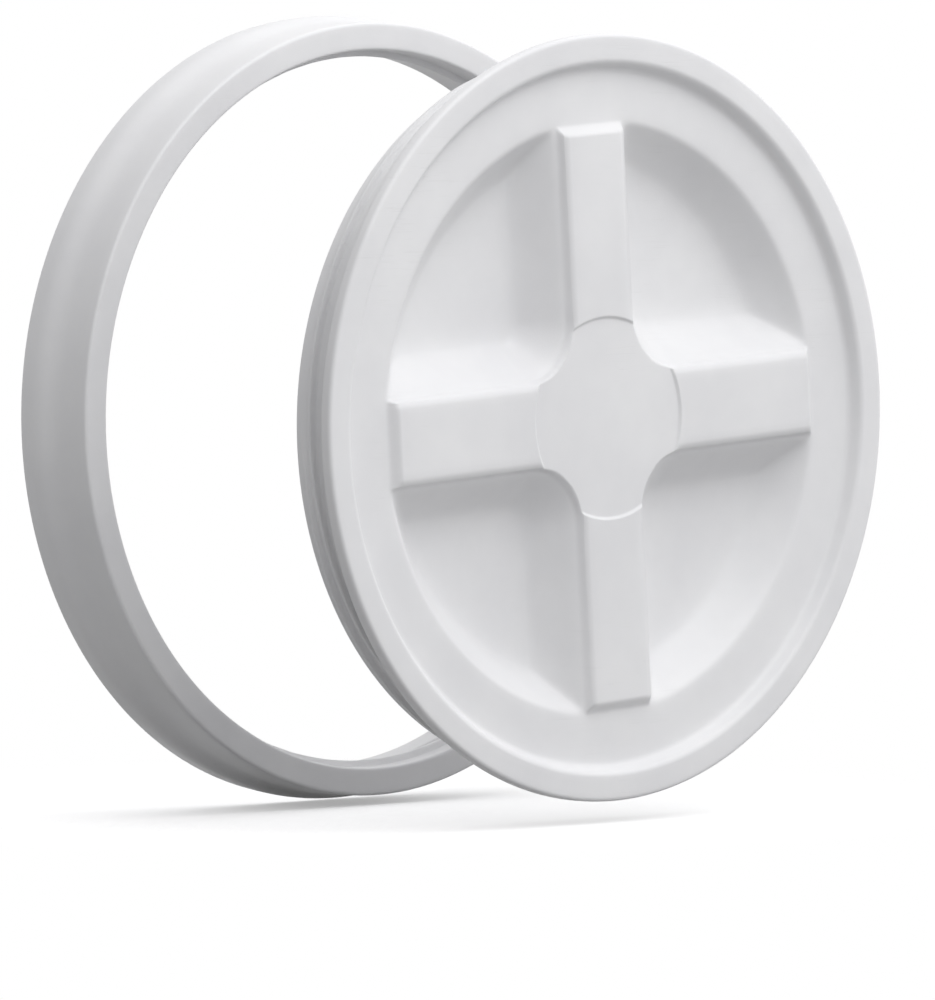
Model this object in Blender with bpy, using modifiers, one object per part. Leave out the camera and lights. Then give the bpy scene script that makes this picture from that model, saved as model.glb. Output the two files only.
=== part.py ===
# Screw-top pail closure: a push-fit adapter ring and a screw lid with a cross grip, each with its seal.
# Metres. The closure's axis is level: +Z is up, and the lid comes off along -Y.
# Every piece is drawn about its own Z axis, and an empty turns that axis to -Y.

import math

import bmesh
import bpy

# Turning
FACETS = 72                  # sides of every turned piece
FIT_GAP = 0.0003             # between a seal and what carries it

# Pail rim that the ring is pushed on
PAIL_RIM_RADIUS = 0.15415    # to the middle of the rim's thickness
CHANNEL_WIDTH = 0.0057       # room for the rim, at the channel's roof

# Adapter ring, heights measured outwards from the plane where the pail's rim stops
RING_LIP_HEIGHT = 0.0080     # top of the lip
RING_DEPTH = 0.0380          # lip to the edge of the outer skirt
RING_FLARE = 0.0030          # how much wider the skirt's edge is than the wall at the lip
RING_FLARE_BULGE = 0.0021    # flare already reached halfway down it
RING_FLARE_START = 0.0180    # below the lip
RING_WALL = 0.0030
RING_EDGE = 0.0015           # chamfer of the lip's outer and inner edge
COLLAR_WALL = 0.0028
COLLAR_DEPTH = 0.0300        # lip to the collar's lower edge
SNAP_BEAD = 0.0015           # how far the bead stands in from the skirt's wall
SNAP_BEAD_HEIGHT = 0.0060
SNAP_BEAD_ABOVE_EDGE = 0.0025
RING_SEAL_THICKNESS = 0.0027

# Screw lid, heights measured outwards from its flange's underside
FLANGE_OVERHANG = 0.0105     # skirt to the flange's rim
FLANGE_THICKNESS = 0.0052
FLANGE_EDGE = 0.0015         # chamfer of the flange's outer edge
RIM_BAND = 0.0115            # width of the raised band round the face
BAND_STEP = 0.0055           # band down to the panel
STEP_RUN = 0.0026            # how far the step leans in over its height
LID_WALL = 0.0030
SKIRT_GAP = 0.0040           # bore to skirt, where both threads lie
SKIRT_DEPTH = 0.0260
LID_SEAL_THICKNESS = 0.0022
LID_SEAL_BORE_GAP = 0.0007   # seal to skirt
LID_SEAL_INSET = 0.0030      # seal's rim inside the flange's
LID_SEAL_SEAT = 0.0003       # seal to lip with the lid shut

# Pockets and cross grip
PANEL_WIDTH = 0.0237         # flat panel between the band and the pockets
POCKET_DEPTH = 0.0165
POCKET_DRAFT_RUN = 0.0140    # how far a pocket's wall leans in over its depth
ARM_WIDTH = 0.0340           # across the top of an arm
ARM_SETBACK = 0.0056         # top of an arm's end inside the pockets' outer edge
ARM_END_SLOPE = 0.0049       # how far an arm's end slopes out, down to the panel
ARM_RISE = 0.0033            # top of the grip above the panel
GRIP_LEAN = 0.0013           # how far the grip's sides lean out, down to the panel
GRIP_LEDGE = 0.0004          # panel left beside the raised grip
CORNER_RADIUS = 0.0230       # a pocket's round corner between two arms, at the panel
HUB_DISH_RADIUS = 0.0410
HUB_DISH_DEPTH = 0.0010
GRIP_TURN = math.radians(4.0)
ARMS = 4
RIM_STEPS = 10               # sides of a pocket's outer arc
CORNER_STEPS = 6             # sides of a round corner between two arms

# Thread, right-handed
THREAD_STARTS = 4
THREAD_LEAD = 0.0240
THREAD_ARC = math.radians(150)
THREAD_BELOW_LIP = 0.0160    # lip to the low end of the ring's ridges
RIDGE_CLEARANCE = 0.0014     # a ridge's crest to the wall across from it
RIDGE_ROOT = 0.0028          # along the axis
RIDGE_CREST = 0.0014
RIDGE_SUNK = 0.0008          # how deep a ridge's root goes into its wall
RIDGE_FADE = math.radians(25)    # stretch over which a ridge rises from its wall
RIDGE_TIP = 0.0002           # height of a ridge at its ends
RIDGE_STEPS = 30

# The lid is drawn taken off, this far out from where it is shut
LID_LIFT = 0.1320

WHITE = (0.80, 0.80, 0.79, 1.0)
WHITE_ROUGHNESS = 0.42
SEAL_GREY = (0.33, 0.33, 0.34, 1.0)
SEAL_ROUGHNESS = 0.65

# Sizes that follow
RING_EDGE_HEIGHT = RING_LIP_HEIGHT - RING_DEPTH
RING_ROOF = RING_SEAL_THICKNESS + FIT_GAP
CHANNEL_RADIUS = PAIL_RIM_RADIUS + CHANNEL_WIDTH / 2
RING_FRONT_RADIUS = CHANNEL_RADIUS + RING_WALL
COLLAR_RADIUS = PAIL_RIM_RADIUS - CHANNEL_WIDTH / 2
BORE_RADIUS = COLLAR_RADIUS - COLLAR_WALL
SKIRT_RADIUS = BORE_RADIUS - SKIRT_GAP
RIDGE_HEIGHT = SKIRT_GAP - RIDGE_CLEARANCE
FLANGE_RADIUS = SKIRT_RADIUS + FLANGE_OVERHANG
FLANGE_SHUT = RING_LIP_HEIGHT + LID_SEAL_SEAT + LID_SEAL_THICKNESS + FIT_GAP
BAND_HEIGHT = FLANGE_THICKNESS
PANEL_HEIGHT = BAND_HEIGHT - BAND_STEP
PANEL_RADIUS = FLANGE_RADIUS - RIM_BAND
POCKET_RADIUS = PANEL_RADIUS - PANEL_WIDTH
POCKET_FLOOR = PANEL_HEIGHT - POCKET_DEPTH
ARM_REACH = POCKET_RADIUS - ARM_SETBACK
ARM_HALF = ARM_WIDTH / 2
GRIP_TOP = PANEL_HEIGHT + ARM_RISE
POCKET_SIDE = ARM_HALF + GRIP_LEAN + GRIP_LEDGE
CORNER_CENTRE = POCKET_SIDE + CORNER_RADIUS
DRAFT = POCKET_DRAFT_RUN / POCKET_DEPTH
CUT_OVER = 0.004             # how far a cutter runs past the face it opens


def clear_scene():
    for item in list(bpy.data.objects):
        bpy.data.objects.remove(item, do_unlink=True)


def new_collection(name):
    group = bpy.data.collections.new(name)
    bpy.context.scene.collection.children.link(group)
    return group


def plastic(name, colour, roughness):
    material = bpy.data.materials.new(name)
    material.use_nodes = True
    shader = material.node_tree.nodes["Principled BSDF"]
    shader.inputs["Base Color"].default_value = colour
    shader.inputs["Roughness"].default_value = roughness
    shader.inputs["Metallic"].default_value = 0.0
    return material


def axis_empty(name, group, parent=None):
    empty = bpy.data.objects.new(name, None)
    empty.parent = parent
    group.objects.link(empty)
    return empty


def add_object(name, mesh, group, parent):
    piece = bpy.data.objects.new(name, mesh)
    piece.parent = parent
    group.objects.link(piece)
    return piece


def mesh_from_bmesh(name, shape):
    bmesh.ops.recalc_face_normals(shape, faces=shape.faces)
    mesh = bpy.data.meshes.new(name)
    shape.to_mesh(mesh)
    shape.free()
    return mesh


def turned(name, profile, group, parent, ring=True):
    """Turn (radius, height) points. A ring's profile closes on itself, a disc's ends on the axis."""
    count = len(profile)
    edges = [(i, (i + 1) % count) for i in range(count if ring else count - 1)]
    mesh = bpy.data.meshes.new(name)
    mesh.from_pydata([(radius, 0.0, height) for radius, height in profile], edges, [])
    piece = add_object(name, mesh, group, parent)
    screw = piece.modifiers.new("turn", "SCREW")
    screw.axis = "Z"
    screw.angle = math.tau
    screw.steps = FACETS
    screw.render_steps = FACETS
    screw.use_merge_vertices = True
    screw.merge_threshold = 0.00001
    screw.use_smooth_shade = True
    return piece


def add_loft(shape, sections):
    """Skin a run of sections with equal point counts, and close both ends."""
    rows = [[shape.verts.new(point) for point in section] for section in sections]
    count = len(rows[0])
    for low, high in zip(rows, rows[1:]):
        for i in range(count):
            j = (i + 1) % count
            shape.faces.new((low[i], low[j], high[j], high[i]))
    shape.faces.new(rows[0][::-1])
    shape.faces.new(rows[-1])


def arc(radius, start, end, steps):
    angles = [start + (end - start) * i / steps for i in range(steps + 1)]
    return [(radius * math.cos(a), radius * math.sin(a)) for a in angles]


def corner_arc(inset, start, end):
    """Round corner between two arms, about the centre that all levels of pocket and grip share."""
    corner = arc(CORNER_RADIUS - inset, start, end, CORNER_STEPS)
    return [(CORNER_CENTRE + x, CORNER_CENTRE + y) for x, y in corner]


def pocket_outline(inset):
    """One pocket between two arms: outer arc, an arm's side, the round corner, the other arm's side."""
    outer = POCKET_RADIUS - inset
    reach = math.asin((POCKET_SIDE + inset) / outer)
    rim = arc(outer, reach, math.pi / 2 - reach, RIM_STEPS)
    return rim + corner_arc(inset, math.pi, 1.5 * math.pi)


def turn_point(point, angle):
    x, y = point
    return x * math.cos(angle) - y * math.sin(angle), x * math.sin(angle) + y * math.cos(angle)


def grip_outline(half, reach):
    """The arms and the round corners between them, walked round the axis arm by arm."""
    arm = [(reach, -half), (reach, half)] + corner_arc(half - POCKET_SIDE, 1.5 * math.pi, math.pi)
    return [turn_point(p, math.tau * k / ARMS) for k in range(ARMS) for p in arm]


def at_height(outline, height):
    return [(x, y, height) for x, y in outline]


def add_cutter(target, name, mesh, group, parent, operation="DIFFERENCE"):
    cutter = add_object(name, mesh, group, parent)
    cutter.hide_render = True
    cutter.display_type = "WIRE"
    cut = target.modifiers.new(name, "BOOLEAN")
    cut.operation = operation
    cut.solver = "EXACT"
    cut.object = cutter


def thread_ridges(name, wall_radius, outward, low_height, first_angle):
    """The thread's ridges, one for each start. Each fades into its wall at both ends."""
    shape = bmesh.new()
    for start in range(THREAD_STARTS):
        sections = []
        for step in range(RIDGE_STEPS + 1):
            share = step / RIDGE_STEPS
            angle = first_angle + math.tau * start / THREAD_STARTS + THREAD_ARC * share
            height = low_height + THREAD_LEAD * THREAD_ARC * share / math.tau
            rise = min(1.0, min(share, 1.0 - share) * THREAD_ARC / RIDGE_FADE)
            ridge = RIDGE_TIP + (RIDGE_HEIGHT - RIDGE_TIP) * rise
            root = wall_radius - outward * RIDGE_SUNK
            crest = wall_radius + outward * ridge
            outline = [
                (root, height - RIDGE_ROOT / 2),
                (crest, height - RIDGE_CREST / 2),
                (crest, height + RIDGE_CREST / 2),
                (root, height + RIDGE_ROOT / 2),
            ]
            sections.append([(r * math.cos(angle), r * math.sin(angle), z) for r, z in outline])
        add_loft(shape, sections)
    return mesh_from_bmesh(name, shape)


def make_adapter_ring(parts, cutters, axis, material):
    lip = RING_LIP_HEIGHT
    edge = RING_EDGE_HEIGHT
    back_radius = RING_FRONT_RADIUS + RING_FLARE
    skirt_inside = back_radius - RING_WALL
    bead_low = edge + SNAP_BEAD_ABOVE_EDGE
    profile = [
        (BORE_RADIUS + RING_EDGE, lip),
        (RING_FRONT_RADIUS - RING_EDGE, lip),
        (RING_FRONT_RADIUS, lip - RING_EDGE),
        (RING_FRONT_RADIUS, lip - RING_FLARE_START),
        (RING_FRONT_RADIUS + RING_FLARE_BULGE, (lip - RING_FLARE_START + edge) / 2),
        (back_radius, edge + RING_EDGE),
        (back_radius - RING_EDGE / 2, edge),
        (skirt_inside, edge),
        (skirt_inside, bead_low),
        (skirt_inside - SNAP_BEAD, bead_low + SNAP_BEAD_HEIGHT / 2),
        (CHANNEL_RADIUS + RING_FLARE_BULGE, bead_low + SNAP_BEAD_HEIGHT),
        (CHANNEL_RADIUS, lip - RING_FLARE_START),
        (CHANNEL_RADIUS, RING_ROOF),
        (COLLAR_RADIUS, RING_ROOF),
        (COLLAR_RADIUS, lip - COLLAR_DEPTH),
        (BORE_RADIUS, lip - COLLAR_DEPTH),
        (BORE_RADIUS, lip - RING_EDGE),
    ]
    ring = turned("adapter_ring", profile, parts, axis)
    ridges = thread_ridges("ring_thread", BORE_RADIUS, -1, lip - THREAD_BELOW_LIP, 0.0)
    add_cutter(ring, "ring_thread", ridges, cutters, axis, "UNION")
    ring.data.materials.append(material)


def make_ring_gasket(parts, axis, material):
    inner = COLLAR_RADIUS + FIT_GAP
    outer = CHANNEL_RADIUS - FIT_GAP
    profile = [(inner, RING_SEAL_THICKNESS), (outer, RING_SEAL_THICKNESS), (outer, 0.0), (inner, 0.0)]
    gasket = turned("ring_gasket", profile, parts, axis)
    gasket.data.materials.append(material)


def make_screw_lid(parts, cutters, axis, material):
    skirt_edge = -SKIRT_DEPTH
    skirt_inside = SKIRT_RADIUS - LID_WALL
    deck_under = PANEL_HEIGHT - LID_WALL
    pan_under = POCKET_FLOOR - LID_WALL
    pan_side = POCKET_RADIUS + LID_WALL
    profile = [
        (0.0, PANEL_HEIGHT),
        (PANEL_RADIUS - STEP_RUN, PANEL_HEIGHT),
        (PANEL_RADIUS, BAND_HEIGHT),
        (FLANGE_RADIUS - FLANGE_EDGE, BAND_HEIGHT),
        (FLANGE_RADIUS, BAND_HEIGHT - FLANGE_EDGE),
        (FLANGE_RADIUS, 0.0),
        (SKIRT_RADIUS, 0.0),
        (SKIRT_RADIUS, skirt_edge),
        (skirt_inside, skirt_edge),
        (skirt_inside, deck_under),
        (pan_side - DRAFT * LID_WALL, deck_under),
        (pan_side - DRAFT * (PANEL_HEIGHT - pan_under), pan_under),
        (0.0, pan_under),
    ]
    lid = turned("screw_lid", profile, parts, axis, ring=False)

    thread_angle = math.tau * LID_LIFT / THREAD_LEAD - GRIP_TURN
    half_pitch = THREAD_LEAD / THREAD_STARTS / 2
    ridge_low = RING_LIP_HEIGHT - THREAD_BELOW_LIP - half_pitch - FLANGE_SHUT
    ridges = thread_ridges("lid_thread", SKIRT_RADIUS, 1, ridge_low, thread_angle)
    add_cutter(lid, "lid_thread", ridges, cutters, axis, "UNION")

    grip = bmesh.new()
    foot = grip_outline(ARM_HALF + GRIP_LEAN, ARM_REACH + ARM_END_SLOPE)
    top = grip_outline(ARM_HALF, ARM_REACH)
    sunk = PANEL_HEIGHT - LID_WALL / 2
    add_loft(grip, [at_height(foot, sunk), at_height(foot, PANEL_HEIGHT), at_height(top, GRIP_TOP)])
    add_cutter(lid, "grip", mesh_from_bmesh("grip", grip), cutters, axis, "UNION")

    pockets = bmesh.new()
    for arm in range(ARMS):
        angle = math.tau * arm / ARMS
        sections = []
        levels = ((POCKET_DRAFT_RUN, POCKET_FLOOR), (0.0, PANEL_HEIGHT), (0.0, GRIP_TOP + CUT_OVER))
        for inset, height in levels:
            outline = [turn_point(p, angle) for p in pocket_outline(inset)]
            sections.append(at_height(outline, height))
        add_loft(pockets, sections)
    add_cutter(lid, "pockets", mesh_from_bmesh("pockets", pockets), cutters, axis)

    hollow = bmesh.new()
    roof = GRIP_TOP - LID_WALL
    mouth = pan_under - CUT_OVER
    lean = DRAFT * (roof - mouth)
    half = ARM_HALF - LID_WALL
    reach = ARM_REACH - LID_WALL
    mouth_outline = grip_outline(half + lean, reach - lean)
    add_loft(hollow, [at_height(mouth_outline, mouth), at_height(grip_outline(half, reach), roof)])
    add_cutter(lid, "grip_hollow", mesh_from_bmesh("grip_hollow", hollow), cutters, axis)

    dish_bottom = GRIP_TOP - HUB_DISH_DEPTH
    dish = bmesh.new()
    round_hub = arc(HUB_DISH_RADIUS, 0.0, math.tau, FACETS)[:-1]
    add_loft(dish, [at_height(round_hub, dish_bottom), at_height(round_hub, dish_bottom + CUT_OVER)])
    add_cutter(lid, "hub_dish", mesh_from_bmesh("hub_dish", dish), cutters, axis)
    lid.data.materials.append(material)


def make_lid_gasket(parts, axis, material):
    inner = SKIRT_RADIUS + LID_SEAL_BORE_GAP
    outer = FLANGE_RADIUS - LID_SEAL_INSET
    top = -FIT_GAP
    bottom = top - LID_SEAL_THICKNESS
    profile = [(inner, top), (outer, top), (outer, bottom), (inner, bottom)]
    gasket = turned("lid_gasket", profile, parts, axis)
    gasket.data.materials.append(material)


def main():
    clear_scene()
    parts = new_collection("screw_top_pail_closure")
    cutters = new_collection("cutters")

    closure_axis = axis_empty("closure_axis", parts)
    closure_axis.rotation_euler = (math.pi / 2, 0.0, 0.0)
    lid_axis = axis_empty("lid_axis", parts, closure_axis)
    lid_axis.location = (0.0, 0.0, FLANGE_SHUT + LID_LIFT)
    lid_axis.rotation_euler = (0.0, 0.0, GRIP_TURN)

    make_adapter_ring(parts, cutters, closure_axis, plastic("ring_white", WHITE, WHITE_ROUGHNESS))
    make_ring_gasket(parts, closure_axis, plastic("ring_seal_grey", SEAL_GREY, SEAL_ROUGHNESS))
    make_screw_lid(parts, cutters, lid_axis, plastic("lid_white", WHITE, WHITE_ROUGHNESS))
    make_lid_gasket(parts, lid_axis, plastic("lid_seal_grey", SEAL_GREY, SEAL_ROUGHNESS))


main()
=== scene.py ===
import math

import bpy
import numpy as np
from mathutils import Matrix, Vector


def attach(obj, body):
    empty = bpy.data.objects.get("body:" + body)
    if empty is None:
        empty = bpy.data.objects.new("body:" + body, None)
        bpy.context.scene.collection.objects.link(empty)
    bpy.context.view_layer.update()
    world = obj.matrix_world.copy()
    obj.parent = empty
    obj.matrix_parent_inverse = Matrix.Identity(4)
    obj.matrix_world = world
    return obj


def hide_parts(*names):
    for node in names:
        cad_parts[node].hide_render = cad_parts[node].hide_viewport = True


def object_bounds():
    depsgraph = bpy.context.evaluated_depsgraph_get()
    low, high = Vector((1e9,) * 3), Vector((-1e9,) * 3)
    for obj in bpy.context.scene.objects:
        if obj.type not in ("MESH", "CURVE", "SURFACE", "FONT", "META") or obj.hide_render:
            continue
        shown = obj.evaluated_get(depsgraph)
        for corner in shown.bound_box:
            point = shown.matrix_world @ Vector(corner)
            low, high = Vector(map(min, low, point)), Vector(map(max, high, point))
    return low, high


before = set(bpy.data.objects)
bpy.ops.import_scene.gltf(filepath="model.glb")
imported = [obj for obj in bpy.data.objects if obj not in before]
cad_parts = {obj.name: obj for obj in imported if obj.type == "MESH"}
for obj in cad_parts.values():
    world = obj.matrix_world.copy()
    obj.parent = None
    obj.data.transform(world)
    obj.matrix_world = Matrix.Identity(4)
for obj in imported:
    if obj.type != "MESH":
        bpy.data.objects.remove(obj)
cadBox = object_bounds()
mm = 0.001
print("frame loaded:", ", ".join(sorted(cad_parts)))

# lengths closer than this are taken as equal
tiny = 1e-6
# how far beside a threaded wall its thread has faded to nothing
hair = 0.05 * mm
# the most of a side that one rounded corner may take up
sideShare = 0.45


# every turned piece: radius, angle and height about the closure's axis, which runs along -Y;
# angles count from +X towards +Z
def aboutAxis(radius, angle, height):
    radius, angle, height = np.broadcast_arrays(radius, angle, height)
    return np.stack([radius * np.cos(angle), -height, radius * np.sin(angle)], axis=-1)


# the larger of a and b, with the crease between them rounded over a length of about k
def softMax(a, b, k):
    return 0.5 * (a + b + np.sqrt((a - b) ** 2 + k * k))


# the smaller of a and b, rounded the same way
def softMin(a, b, k):
    return 0.5 * (a + b - np.sqrt((a - b) ** 2 + k * k))


# 0 below low, 1 above high, and a smooth cubic between
def ease(value, low, high):
    t = np.clip((value - low) / (high - low), 0.0, 1.0)
    return t * t * (3.0 - 2.0 * t)


# 1 on a wall of this radius, and 0 a hair to either side of it
def onWall(radius, wall):
    return ease(wall + hair - radius, 0.0, hair) * ease(radius - wall, -hair, 0.0)


# an outline with round corners: each corner is given by its place and its cut-back along both sides, and the
# cut is bridged by a parabola whose control point is the corner itself
def roundCorners(corners, steps=6, closed=True):
    corners = np.asarray(corners, float)
    places, cutBack = corners[:, :2], corners[:, 2]
    count = len(places)
    t = np.linspace(0.0, 1.0, steps)[:, None]
    out = []
    for i, place in enumerate(places):
        if not closed and i in (0, count - 1):
            out.append(place[None])
            continue
        before = places[i - 1] - place
        after = places[(i + 1) % count] - place
        beforeLength, afterLength = np.linalg.norm(before), np.linalg.norm(after)
        cut = min(cutBack[i], sideShare * beforeLength, sideShare * afterLength)
        a = place + before / beforeLength * cut
        b = place + after / afterLength * cut
        out.append((1 - t) ** 2 * a + 2 * t * (1 - t) * place + t ** 2 * b)
    return np.concatenate(out)


# extra points along the long sides of an outline, so that no side is longer than step
def refine(points, step, closed=True):
    ends = np.roll(points, -1, axis=0) if closed else points[1:]
    starts = points if closed else points[:-1]
    out = []
    for a, b in zip(starts, ends):
        parts = max(1, int(math.ceil(np.linalg.norm(b - a) / step)))
        out.append(a + (b - a) * (np.arange(parts) / parts)[:, None])
    if not closed:
        out.append(points[-1:])
    return np.concatenate(out)


# an upright stretch of an outline: one radius at many heights
def wallRun(radius, heights):
    return np.stack([np.full(len(heights), radius), heights], axis=-1)


# a grid of points as a smooth mesh: its columns close round the axis, and its rows close on themselves or end
# in two poles
def gridPiece(name, points, poles=None):
    rows, columns = points.shape[:2]
    verts = points.reshape(-1, 3)
    index = np.arange(rows * columns).reshape(rows, columns)
    if poles is None:
        index = np.concatenate([index, index[:1]])
    beside = np.roll(index, -1, axis=1)
    quads = np.stack([index[:-1], index[1:], beside[1:], beside[:-1]], axis=-1)
    faces = quads.reshape(-1, 4).tolist()
    if poles is not None:
        top, bottom = rows * columns, rows * columns + 1
        topFan = np.stack([np.full(columns, top), index[0], beside[0]], axis=-1)
        bottomFan = np.stack([np.full(columns, bottom), beside[-1], index[-1]], axis=-1)
        faces += topFan.tolist() + bottomFan.tolist()
        verts = np.concatenate([verts, np.asarray(poles, float)])
    mesh = bpy.data.meshes.new(name)
    mesh.from_pydata(verts.tolist(), [], faces)
    mesh.shade_smooth()
    mesh.validate()
    piece = bpy.data.objects.new(name, mesh)
    bpy.context.scene.collection.objects.link(piece)
    print("made", name, "with", len(verts), "points")
    return piece


# thread of the ring and of the lid

threadSet = dict(
    starts=4, lead=24.0 * mm, arc=math.radians(150), fade=math.radians(25), height=2.6 * mm, root=2.8 * mm,
    crest=1.4 * mm,
)


# height of the thread above its wall: each start is a ridge that climbs by the lead in a full turn, with
# sloped flanks, and that fades out at both ends of its arc
def threadRelief(angle, height, lowHeight, firstAngle):
    s = threadSet
    relief = np.zeros(np.broadcast(angle, height).shape)
    flank = (s["root"] - s["crest"]) / 2
    for start in range(s["starts"]):
        along = np.mod(angle - firstAngle - math.tau * start / s["starts"], math.tau)
        share = along / s["arc"]
        middle = lowHeight + s["lead"] * along / math.tau
        inside = (s["root"] / 2 - np.abs(height - middle)) / flank
        swell = np.clip(np.minimum(share, 1.0 - share) * s["arc"] / s["fade"], 0.0, 1.0)
        relief = np.maximum(relief, s["height"] * swell * ease(inside, 0.0, 1.0))
    return relief


# adapter ring

ringSet = dict(
    lip=8.0 * mm, depth=38.0 * mm, frontRadius=160.0 * mm, flare=3.0 * mm, flareStart=18.0 * mm,
    flareEnd=28.0 * mm, hemTuck=1.2 * mm, wall=3.0 * mm, bore=148.5 * mm, collarWall=2.8 * mm,
    collarDepth=30.0 * mm, roof=3.0 * mm, bead=1.5 * mm, beadHeight=6.0 * mm, beadAboveEdge=2.5 * mm,
    beadTop=2.1 * mm, threadBelowLip=16.0 * mm, columns=400, coarse=2.0 * mm, fine=0.42 * mm, marks=0.5,
)


def makeRing(s):
    lip, edge = s["lip"], s["lip"] - s["depth"]
    front, back = s["frontRadius"], s["frontRadius"] + s["flare"]
    flareStart, flareEnd = lip - s["flareStart"], lip - s["flareEnd"]
    inside, channel = back - s["wall"], front - s["wall"]
    collar, collarEdge = s["bore"] + s["collarWall"], lip - s["collarDepth"]
    beadLow = edge + s["beadAboveEdge"]
    # from the bore's mouth over the lip, down the outer wall, and up and down the channel to the collar's
    # edge: the radius, height and cut-back of each corner
    outline = [
        (s["bore"], lip, 1.4 * mm),
        (front, lip, 1.6 * mm),
        (front, flareStart, 4.0 * mm),
        (back, flareEnd, 4.0 * mm),
        (back - s["hemTuck"], edge, 1.2 * mm),
        (inside, edge, 0.8 * mm),
        (inside, beadLow, 1.0 * mm),
        (inside - s["bead"], beadLow + s["beadHeight"] / 2, 1.5 * mm),
        (channel + s["beadTop"], beadLow + s["beadHeight"], 1.5 * mm),
        (channel, flareStart, 3.0 * mm),
        (channel, s["roof"], 1.0 * mm),
        (collar, s["roof"], 1.0 * mm),
        (collar, collarEdge, 1.0 * mm),
        (s["bore"], collarEdge, 1.0 * mm),
    ]
    profile = refine(roundCorners(outline), s["coarse"])
    # the bore's own stretch carries the thread, so it is sampled finely
    onBore = np.abs(profile[:, 0] - s["bore"]) < tiny
    low, high = profile[onBore, 1].min(), profile[onBore, 1].max()
    boreRun = wallRun(s["bore"], np.arange(low, high, s["fine"]))
    last = np.flatnonzero(onBore).max()
    profile = np.concatenate([np.roll(profile, -last - 1, axis=0)[:-onBore.sum()], boreRun])
    angle = np.linspace(0.0, math.tau, s["columns"], endpoint=False)[None, :]
    radius, height = profile[:, :1], profile[:, 1:]
    relief = threadRelief(angle, height, lip - s["threadBelowLip"], 0.0)
    radius = radius - onWall(radius, s["bore"]) * relief
    return gridPiece("ring_shell", aboutAxis(radius, angle, height))


# screw lid

lidSet = dict(
    flange=155.0 * mm, thickness=5.2 * mm, band=11.5 * mm, step=5.5 * mm, stepRun=2.6 * mm, wall=3.0 * mm,
    panelEnd=136.0 * mm, underEnd=134.0 * mm, skirt=144.5 * mm, skirtDepth=26.0 * mm,
    pocketRadius=119.8 * mm, pocketDepth=16.5 * mm, draftRun=14.0 * mm, armWidth=34.0 * mm,
    armReach=114.2 * mm, endSlope=4.9 * mm, armRise=3.3 * mm, armCorner=23.0 * mm, gripLean=1.3 * mm,
    gripRun=2.4 * mm, ledge=0.4 * mm, dish=41.0 * mm, dishDepth=1.0 * mm, dishOver=0.3 * mm,
    dishRun=1.0 * mm, gripTurn=math.radians(4.0), lift=132.0 * mm, shutHeight=10.8 * mm,
    threadBelowLip=16.0 * mm, lip=8.0 * mm, corner=3.0 * mm, edge=1.6 * mm, fillet=4.0 * mm,
    underGrow=1.4 * mm, cornerSteps=7, coarse=2.0 * mm, skirtRows=62, marks=0.7,
)

# rows of the lid's face and underside, from firstRow out: each stretch by its end and its number of rows;
# then the columns of half a sector, on the arm, its wall and the floor, and the margins and widest angles
# between which they crowd
lidGrid = dict(
    firstRow=2.0 * mm,
    faceRows=[(28.0 * mm, 6), (38.5 * mm, 14), (42.0 * mm, 10), (60.0 * mm, 24), (104.0 * mm, 18),
              (124.0 * mm, 36), (lidSet["panelEnd"], 6)],
    underRows=[(44.0 * mm, 10), (60.0 * mm, 14), (104.0 * mm, 16), (124.0 * mm, 26), (133.0 * mm, 5)],
    armColumns=6, wallColumns=18, floorColumns=10, crowding=1.4, sideMargin=0.6 * mm, footMargin=1.5 * mm,
    sideAngle=0.47, footAngle=0.70, evenMargin=2.0 * mm,
)


# how far a point lies outside the cross: the distance to the nearer arm's side, with a round corner between
# two arms
def besideArms(x, y, s):
    side, corner = s["armWidth"] / 2 + s["gripLean"] + s["ledge"], s["armCorner"]
    level = np.maximum(corner + side - np.abs(x), 0.0)
    upright = np.maximum(corner + side - np.abs(y), 0.0)
    return corner - np.hypot(level, upright)


# how far a point of the face lies inside the nearest pocket's top edge: the lesser of its distances to the
# arms and to the pocket's round outside, with a rounded corner where the two meet
def pocketInset(x, y, s, grow=0.0):
    return softMin(besideArms(x, y, s), s["pocketRadius"] - np.hypot(x, y), s["corner"]) + grow


# a pocket's depth from its inset: a straight sloped wall, rounded at the top edge and filleted into the
# floor, less what the fillet alone would give far outside the pocket
def pocketDepth(inset, s):
    full = s["pocketDepth"]
    sloped = softMax(full / s["draftRun"] * inset, 0.0, s["edge"])
    return softMin(sloped, full, s["fillet"]) - softMin(0.0, full, s["fillet"])


# how far up the raised grip a point lies, from 0 at the panel to 1 on top: the sides of the cross, and the
# sloped ends of its arms
def gripShare(x, y, s, shrink=0.0):
    sides = (-besideArms(x, y, s) - s["ledge"] - shrink) / s["gripRun"]
    ends = (s["armReach"] - shrink + s["endSlope"] - np.maximum(np.abs(x), np.abs(y))) / s["endSlope"]
    return ease(np.minimum(sides, ends), 0.0, 1.0)


# height of the lid's face above the flange's underside: the panel, plus the raised grip, less the pockets,
# cut down by a shallow round dish in the middle
def faceHeight(x, y, s):
    panel = s["thickness"] - s["step"]
    height = panel + s["armRise"] * gripShare(x, y, s) - pocketDepth(pocketInset(x, y, s), s)
    dish = ease(s["dish"] - np.hypot(x, y), -s["dishOver"], s["dishRun"])
    over = np.maximum(height - (panel + s["armRise"] - s["dishDepth"]), 0.0)
    return height - dish * over


# height of the underside: the same grip and pockets, grown sideways and set one wall lower
def underHeight(x, y, s):
    panel = s["thickness"] - s["step"] - s["wall"]
    raised = s["armRise"] * gripShare(x, y, s, s["wall"])
    return panel + raised - pocketDepth(pocketInset(x, y, s, s["underGrow"]), s)


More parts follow.
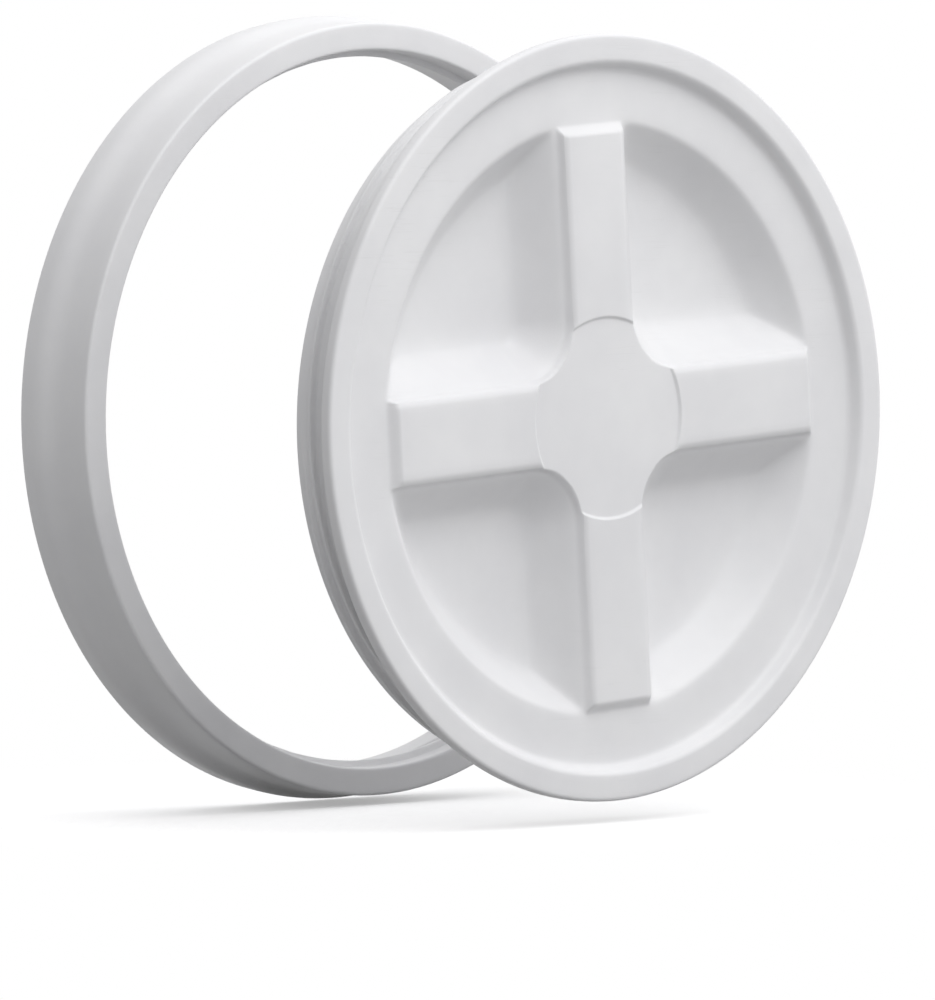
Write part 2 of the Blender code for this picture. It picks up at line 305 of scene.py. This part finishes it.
# column angles for each row: in each half sector the columns crowd on the arm's side wall, so that edges of
# the grid run along the arm; further out they spread evenly
def faceAngles(radius, s, grid):
    side = s["armWidth"] / 2 - grid["sideMargin"]
    foot = s["armWidth"] / 2 + s["gripLean"] + s["ledge"] + s["draftRun"] + grid["footMargin"]
    radius = np.asarray(radius, float)[:, None]
    first = np.minimum(np.arcsin(np.minimum(side / radius, 1.0)), grid["sideAngle"])
    second = np.minimum(np.arcsin(np.minimum(foot / radius, 1.0)), grid["footAngle"])
    a, w, f = grid["armColumns"], grid["wallColumns"], grid["floorColumns"]
    arm = first * (np.arange(a) / a)
    wall = first + (second - first) * (np.arange(w) / w) ** grid["crowding"]
    floor = second + (math.pi / 4 - second) * (np.arange(f) / f)
    half = np.concatenate([arm, wall, floor], axis=1)
    end = np.full((len(radius), 1), math.pi / 4)
    back = math.pi / 2 - np.concatenate([half, end], axis=1)[:, :0:-1]
    sector = np.concatenate([half, back], axis=1)
    even = (math.pi / 2) * (np.arange(sector.shape[1]) / sector.shape[1])[None, :]
    spread = ease(radius, s["pocketRadius"] + grid["evenMargin"], s["flange"] - s["band"])
    sector = sector * (1 - spread) + even * spread
    return np.concatenate([sector + k * math.pi / 2 for k in range(4)], axis=1)


# radii of the rows from first outwards, through stretches given by their ends and their numbers of rows
def rowRadii(first, stretches):
    out = []
    for end, rows in stretches:
        out.append(np.linspace(first, end, rows, endpoint=False))
        first = end
    return np.concatenate(out)


# one side of the lid's middle, as points at the heights that a height function gives above base
def lidSide(radius, heightOf, base, s, grid):
    angle = faceAngles(radius, s, grid)
    radius = radius[:, None]
    height = heightOf(radius * np.cos(angle), radius * np.sin(angle), s)
    return aboutAxis(radius, angle + s["gripTurn"], base + height)


def makeLid(s, grid):
    top, panel = s["thickness"], s["thickness"] - s["step"]
    bandIn, inner = s["flange"] - s["band"], s["skirt"] - s["wall"]
    base = s["shutHeight"] + s["lift"]
    face = lidSide(rowRadii(grid["firstRow"], grid["faceRows"]), faceHeight, base, s, grid)
    # the step, the raised band, the flange's edge and its underside, down to the skirt's foot and up inside
    # it: the radius, height and cut-back of each corner
    rim = [
        (s["panelEnd"], panel, 0.0),
        (bandIn - s["stepRun"], panel, 2.0 * mm),
        (bandIn, top, 1.8 * mm),
        (s["flange"], top, 2.0 * mm),
        (s["flange"], 0.0, 0.9 * mm),
        (s["skirt"], 0.0, 0.6 * mm),
        (s["skirt"], -s["skirtDepth"], 0.8 * mm),
        (inner, -s["skirtDepth"], 0.8 * mm),
        (inner, panel - s["wall"], 2.0 * mm),
        (s["underEnd"], panel - s["wall"], 0.0),
    ]
    profile = refine(roundCorners(rim, s["cornerSteps"], closed=False), s["coarse"], closed=False)
    # the skirt's own stretch carries the thread, so it is sampled finely
    onSkirt = np.flatnonzero(np.abs(profile[:, 0] - s["skirt"]) < tiny)
    first, last = onSkirt[0], onSkirt[-1]
    skirtRun = wallRun(s["skirt"], np.linspace(profile[first, 1], profile[last, 1], s["skirtRows"]))
    profile = np.concatenate([profile[:first], skirtRun, profile[last + 1:]])
    angle = faceAngles(profile[:, 0], s, grid) + s["gripTurn"]
    radius, height = profile[:, :1], profile[:, 1:]
    halfPitch = threadSet["lead"] / threadSet["starts"] / 2
    ridgeLow = s["lip"] - s["threadBelowLip"] - halfPitch - s["shutHeight"]
    relief = threadRelief(angle, height, ridgeLow, math.tau * s["lift"] / threadSet["lead"])
    rimPoints = aboutAxis(radius + onWall(radius, s["skirt"]) * relief, angle, base + height)
    under = lidSide(rowRadii(grid["firstRow"], grid["underRows"])[::-1], underHeight, base, s, grid)
    poles = [(0.0, -base - float(heightOf(0.0, 0.0, s)), 0.0) for heightOf in (faceHeight, underHeight)]
    return gridPiece("lid_shell", np.concatenate([face, rimPoints, under]), poles)


# seals

ringSealSet = dict(inner=151.6 * mm, outer=156.7 * mm, thickness=2.7 * mm, top=2.7 * mm)
lidSealSet = dict(inner=145.2 * mm, outer=152.0 * mm, thickness=2.2 * mm, gap=0.3 * mm)
sealForm = dict(
    columns=240, edge=0.6 * mm, step=0.3 * mm, skin=0.2 * mm, ribHeight=0.25 * mm, ribs=2, ribEnd=0.1,
)


# a flat ring of rubber with rounded edges and shallow ribs on its lower face, which is the one that seals:
# between the ribs the face is hollowed by a cosine wave that dies out at both edges
def makeSeal(name, s, top):
    form = sealForm
    inner, outer, low, edge = s["inner"], s["outer"], top - s["thickness"], form["edge"]
    corners = [(inner, top, edge), (outer, top, edge), (outer, low, edge), (inner, low, edge)]
    profile = refine(roundCorners(corners), form["step"])
    radius, height = profile[:, :1], profile[:, 1:]
    share = (radius - inner) / (outer - inner)
    sealing = ease(-height, -low - form["skin"], -low)
    wave = 0.5 + 0.5 * np.cos(share * form["ribs"] * math.tau)
    hollow = form["ribHeight"] * sealing * wave * ease(share * (1 - share), 0.0, form["ribEnd"])
    angle = np.linspace(0.0, math.tau, form["columns"], endpoint=False)[None, :]
    return gridPiece(name, aboutAxis(radius, angle, height + hollow))


# materials

def makeGroup(name, inputs, outputs):
    group = bpy.data.node_groups.new(name, "ShaderNodeTree")
    for label, default in inputs:
        socket = group.interface.new_socket(label, in_out="INPUT", socket_type="NodeSocketFloat")
        socket.default_value = default
    for label in outputs:
        group.interface.new_socket(label, in_out="OUTPUT", socket_type="NodeSocketFloat")
    return group, group.nodes.new("NodeGroupInput"), group.nodes.new("NodeGroupOutput")


# a socket takes a number as its value, and anything else as a link
def feed(tree, socket, value):
    if isinstance(value, (int, float)):
        socket.default_value = value
    else:
        tree.links.new(value, socket)


def addNoise(tree, vector, scale, detail, rough, distortion=0.0):
    node = tree.nodes.new("ShaderNodeTexNoise")
    node.inputs["Detail"].default_value = detail
    node.inputs["Roughness"].default_value = rough
    node.inputs["Distortion"].default_value = distortion
    tree.links.new(vector, node.inputs["Vector"])
    feed(tree, node.inputs["Scale"], scale)
    return node.outputs["Fac"]


def addMath(tree, operation, a, b=0.0, clamp=False):
    node = tree.nodes.new("ShaderNodeMath")
    node.operation = operation
    node.use_clamp = clamp
    feed(tree, node.inputs[0], a)
    feed(tree, node.inputs[1], b)
    return node.outputs["Value"]


def addRange(tree, value, low, high, outLow=0.0, outHigh=1.0, kind="LINEAR"):
    node = tree.nodes.new("ShaderNodeMapRange")
    node.interpolation_type = kind
    for label, number in (("From Min", low), ("From Max", high), ("To Min", outLow), ("To Max", outHigh)):
        node.inputs[label].default_value = number
    tree.links.new(value, node.inputs["Value"])
    return node.outputs["Result"]


skinSet = dict(
    grain=1500.0, pebbleDetail=2.0, pebbleRough=0.55, cloud=14.0, toneDetail=4.0, toneRough=0.6,
    sink=32.0, sinkDetail=1.0, sinkRough=0.4,
)


# moulded skin: a fine pebble from the tool's surface, slow waves of shrinkage, and cloudy tone
def mouldedSkinGroup(s):
    group, inside, outside = makeGroup(
        "mouldedSkin", [("Grain", s["grain"]), ("Cloud", s["cloud"])], ["Tone", "Pebble", "Sink"])
    where = group.nodes.new("ShaderNodeTexCoord").outputs["Object"]
    pebble = addNoise(group, where, inside.outputs["Grain"], s["pebbleDetail"], s["pebbleRough"])
    tone = addNoise(group, where, inside.outputs["Cloud"], s["toneDetail"], s["toneRough"])
    sink = addNoise(group, where, s["sink"], s["sinkDetail"], s["sinkRough"])
    group.links.new(tone, outside.inputs["Tone"])
    group.links.new(pebble, outside.inputs["Pebble"])
    group.links.new(sink, outside.inputs["Sink"])
    return group


marksSet = dict(
    turns=(0.35, 1.45, 2.5), stretch=26.0, scale=46.0, detail=2.0, rough=0.5, wobble=0.2, low=0.66, high=0.72,
    patch=11.0, patchDetail=3.0, patchRough=0.6, patchLow=0.5, patchHigh=0.68, amount=0.5,
)


# marks of use: short fine scratches where stretched noise passes a threshold, thinned out by a patchy mask
def handlingGroup(s):
    group, inside, outside = makeGroup("handlingMarks", [("Amount", s["amount"])], ["Marks"])
    where = group.nodes.new("ShaderNodeTexCoord").outputs["Object"]
    scratches = []
    for turn in s["turns"]:
        mapping = group.nodes.new("ShaderNodeMapping")
        mapping.inputs["Rotation"].default_value = (0.0, turn, 0.0)
        mapping.inputs["Scale"].default_value = (1.0, 1.0, s["stretch"])
        group.links.new(where, mapping.inputs["Vector"])
        stretched = mapping.outputs["Vector"]
        noise = addNoise(group, stretched, s["scale"], s["detail"], s["rough"], s["wobble"])
        scratches.append(addRange(group, noise, s["low"], s["high"]))
    marks = scratches[0]
    for more in scratches[1:]:
        marks = addMath(group, "MAXIMUM", marks, more)
    patchNoise = addNoise(group, where, s["patch"], s["patchDetail"], s["patchRough"])
    marks = addMath(group, "MULTIPLY", marks, addRange(group, patchNoise, s["patchLow"], s["patchHigh"]))
    marks = addMath(group, "MULTIPLY", marks, inside.outputs["Amount"], clamp=True)
    group.links.new(marks, outside.inputs["Marks"])
    return group


def groupNode(tree, group, **values):
    node = tree.nodes.new("ShaderNodeGroup")
    node.node_tree = group
    for label, value in values.items():
        node.inputs[label].default_value = value
    return node


def mixColour(tree, factor, a, b):
    node = tree.nodes.new("ShaderNodeMix")
    node.data_type = "RGBA"
    tree.links.new(factor, node.inputs["Factor"])
    for socket, colour in ((node.inputs["A"], a), (node.inputs["B"], b)):
        if isinstance(colour, tuple):
            socket.default_value = (*colour, 1.0)
        else:
            tree.links.new(colour, socket)
    return node.outputs["Result"]


def addBump(tree, height, strength, distance):
    node = tree.nodes.new("ShaderNodeBump")
    node.inputs["Strength"].default_value = strength
    node.inputs["Distance"].default_value = distance
    tree.links.new(height, node.inputs["Height"])
    return node.outputs["Normal"]


def newMaterial(name):
    material = bpy.data.materials.new(name)
    material.use_nodes = True
    return material, material.node_tree, material.node_tree.nodes["Principled BSDF"]


plasticSet = dict(
    light=(0.83, 0.83, 0.835), shade=(0.775, 0.775, 0.785), scuff=(0.70, 0.70, 0.70), grain=1500.0,
    cloud=14.0, toneLow=0.35, toneHigh=0.65, smooth=0.34, rough=0.50, roughLow=0.3, roughHigh=0.7,
    scuffTint=0.35, scuffRough=0.12, scuffDepth=0.12, pebbleDepth=0.12, sinkDepth=0.6, bump=0.35,
    bumpDepth=0.6 * mm,
)


# white plastic: cloudy in colour and gloss, with the skin's relief, and duller and darker along the scratches
def mouldedPlastic(name, s, marksAmount, skin, handling):
    material, tree, shader = newMaterial(name)
    surface = groupNode(tree, skin, Grain=s["grain"], Cloud=s["cloud"])
    marks = groupNode(tree, handling, Amount=marksAmount).outputs["Marks"]
    cloudy = addRange(tree, surface.outputs["Tone"], s["toneLow"], s["toneHigh"])
    colour = mixColour(tree, cloudy, s["shade"], s["light"])
    colour = mixColour(tree, addMath(tree, "MULTIPLY", marks, s["scuffTint"]), colour, s["scuff"])
    tree.links.new(colour, shader.inputs["Base Color"])
    rough = addRange(tree, surface.outputs["Tone"], s["roughLow"], s["roughHigh"], s["smooth"], s["rough"])
    rough = addMath(tree, "ADD", rough, addMath(tree, "MULTIPLY", marks, s["scuffRough"]), clamp=True)
    tree.links.new(rough, shader.inputs["Roughness"])
    pebble = addMath(tree, "MULTIPLY", surface.outputs["Pebble"], s["pebbleDepth"])
    sink = addMath(tree, "MULTIPLY", surface.outputs["Sink"], s["sinkDepth"])
    relief = addMath(tree, "ADD", pebble, sink)
    relief = addMath(tree, "SUBTRACT", relief, addMath(tree, "MULTIPLY", marks, s["scuffDepth"]))
    tree.links.new(addBump(tree, relief, s["bump"], s["bumpDepth"]), shader.inputs["Normal"])
    shader.inputs["IOR"].default_value = 1.5
    shader.inputs["Specular IOR Level"].default_value = 0.45
    shader.inputs["Subsurface Weight"].default_value = 0.06
    shader.inputs["Subsurface Radius"].default_value = (1.0, 0.95, 0.9)
    shader.inputs["Subsurface Scale"].default_value = 3.0 * mm
    return material


rubberSet = dict(
    dark=(0.26, 0.26, 0.27), pale=(0.40, 0.40, 0.41), grain=2200.0, cloud=60.0, dustLow=0.4, dustHigh=0.7,
    rough=0.62, dusty=0.82, bump=0.3, bumpDepth=0.3 * mm,
)


# grey rubber, paler and duller where dust lies
def sealRubber(name, s, skin):
    material, tree, shader = newMaterial(name)
    surface = groupNode(tree, skin, Grain=s["grain"], Cloud=s["cloud"])
    dust = addRange(tree, surface.outputs["Tone"], s["dustLow"], s["dustHigh"])
    tree.links.new(mixColour(tree, dust, s["dark"], s["pale"]), shader.inputs["Base Color"])
    rough = addRange(tree, surface.outputs["Tone"], s["dustLow"], s["dustHigh"], s["rough"], s["dusty"])
    tree.links.new(rough, shader.inputs["Roughness"])
    normal = addBump(tree, surface.outputs["Pebble"], s["bump"], s["bumpDepth"])
    tree.links.new(normal, shader.inputs["Normal"])
    shader.inputs["Specular IOR Level"].default_value = 0.35
    return material


# stage

stageSet = dict(
    floorSeen=(0.95, 0.95, 0.95), floorUnseen=(0.25, 0.25, 0.25), floorGlow=0.25, floorSize=4.0,
    floorGap=1.0 * mm, fadeStart=0.12, fadeEnd=0.32, white=(1.0, 1.0, 1.0), worldDim=(0.0, 0.0, 0.0),
    worldBright=(1.41, 1.41, 1.43), brightSide=(0.62, -0.45, 0.64),
)


# 1 for a ray that looks at the background itself: from the camera, off a mirror or through glass
def lookingRay(tree):
    path = tree.nodes.new("ShaderNodeLightPath")
    seen = addMath(tree, "MAXIMUM", path.outputs["Is Camera Ray"], path.outputs["Is Glossy Ray"])
    return addMath(tree, "MAXIMUM", seen, path.outputs["Is Transmission Ray"])


# a pale floor that carries the shadow; to a looking ray it fades out all round the closure, so that the white
# world shows past it, and to every other ray it is solid
def makeFloor(s, height):
    half = s["floorSize"] / 2
    mesh = bpy.data.meshes.new("floor")
    corners = [(-half, -half, height), (half, -half, height), (half, half, height), (-half, half, height)]
    mesh.from_pydata(corners, [], [(0, 1, 2, 3)])
    floor = bpy.data.objects.new("floor", mesh)
    bpy.context.scene.collection.objects.link(floor)
    material, tree, shader = newMaterial("paleFloor")
    looking = lookingRay(tree)
    colour = mixColour(tree, looking, s["floorUnseen"], s["floorSeen"])
    tree.links.new(colour, shader.inputs["Base Color"])
    glow = addMath(tree, "MULTIPLY", looking, s["floorGlow"])
    tree.links.new(glow, shader.inputs["Emission Strength"])
    shader.inputs["Emission Color"].default_value = (*s["white"], 1.0)
    shader.inputs["Roughness"].default_value = 0.9
    shader.inputs["Specular IOR Level"].default_value = 0.0
    away = tree.nodes.new("ShaderNodeVectorMath")
    away.operation = "LENGTH"
    tree.links.new(tree.nodes.new("ShaderNodeTexCoord").outputs["Object"], away.inputs[0])
    fade = addRange(tree, away.outputs["Value"], s["fadeStart"], s["fadeEnd"], 1.0, 0.0, "SMOOTHSTEP")
    unseen = addMath(tree, "SUBTRACT", 1.0, looking)
    tree.links.new(addMath(tree, "MAXIMUM", fade, unseen), shader.inputs["Alpha"])
    mesh.materials.append(material)


# the world is a soft grey that lights the closure, lightest towards the bright side, which is in front,
# overhead and to the right, and it is plain white to a looking ray
def makeWorld(s):
    world = bpy.data.worlds.new("studio")
    bpy.context.scene.world = world
    world.use_nodes = True
    tree = world.node_tree
    background = tree.nodes["Background"]
    towards = tree.nodes.new("ShaderNodeVectorMath")
    towards.operation = "DOT_PRODUCT"
    tree.links.new(tree.nodes.new("ShaderNodeTexCoord").outputs["Generated"], towards.inputs[0])
    towards.inputs[1].default_value = s["brightSide"]
    share = addRange(tree, towards.outputs["Value"], -1.0, 1.0)
    glow = mixColour(tree, share, s["worldDim"], s["worldBright"])
    colour = mixColour(tree, lookingRay(tree), glow, s["white"])
    tree.links.new(colour, background.inputs["Color"])


keySet = dict(place=(0.10, -0.98, 1.22), aim=(0.0, -0.09, 0.0), size=0.9, power=5.0)


def makeLamp(name, s):
    light = bpy.data.lights.new(name, "AREA")
    light.shape = "DISK"
    light.size = s["size"]
    light.energy = s["power"]
    lamp = bpy.data.objects.new(name, light)
    lamp.location = s["place"]
    lamp.rotation_euler = (Vector(s["aim"]) - Vector(s["place"])).to_track_quat("-Z", "Y").to_euler()
    bpy.context.scene.collection.objects.link(lamp)


cameraSet = dict(
    azimuth=-43.3, elevation=2.5, distance=4.0, focal=357.0, sensor=36.0, aim=(-0.0439, -0.1090, -0.0330),
)


def makeCamera(s):
    azimuth, elevation = math.radians(s["azimuth"]), math.radians(s["elevation"])
    level = math.cos(elevation)
    back = Vector((math.sin(azimuth) * level, -math.cos(azimuth) * level, math.sin(elevation)))
    data = bpy.data.cameras.new("photoCamera")
    data.sensor_fit = "VERTICAL"
    data.sensor_height = s["sensor"]
    data.lens = s["focal"]
    camera = bpy.data.objects.new("photoCamera", data)
    camera.location = Vector(s["aim"]) + back * s["distance"]
    camera.rotation_euler = (-back).to_track_quat("-Z", "Y").to_euler()
    bpy.context.scene.collection.objects.link(camera)
    bpy.context.scene.camera = camera


def main():
    skin, handling = mouldedSkinGroup(skinSet), handlingGroup(marksSet)
    ringPlastic = mouldedPlastic("ringPlastic", plasticSet, ringSet["marks"], skin, handling)
    lidPlastic = mouldedPlastic("lidPlastic", plasticSet, lidSet["marks"], skin, handling)
    rubber = sealRubber("sealRubber", rubberSet, skin)

    ring = makeRing(ringSet)
    lid = makeLid(lidSet, lidGrid)
    ringSeal = makeSeal("ring_seal", ringSealSet, ringSealSet["top"])
    lidSealTop = lidSet["shutHeight"] + lidSet["lift"] - lidSealSet["gap"]
    lidSeal = makeSeal("lid_seal_ring", lidSealSet, lidSealTop)
    pieces = [
        (ring, "ring", "adapter_ring", "ring_white", ringPlastic),
        (lid, "lid", "screw_lid", "lid_white", lidPlastic),
        (ringSeal, "ring", "ring_gasket", "ring_seal_grey", rubber),
        (lidSeal, "lid_seal", "lid_gasket", "lid_seal_grey", rubber),
    ]
    for piece, body, node, slot, material in pieces:
        piece.data.materials.append(material)
        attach(piece, body)
        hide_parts(node)
    print("pieces dressed")

    makeFloor(stageSet, float(cadBox[0][2]) - stageSet["floorGap"])
    makeWorld(stageSet)
    makeLamp("key", keySet)
    makeCamera(cameraSet)
    bpy.context.scene.view_settings.view_transform = "Standard"
    print("stage set")


main()
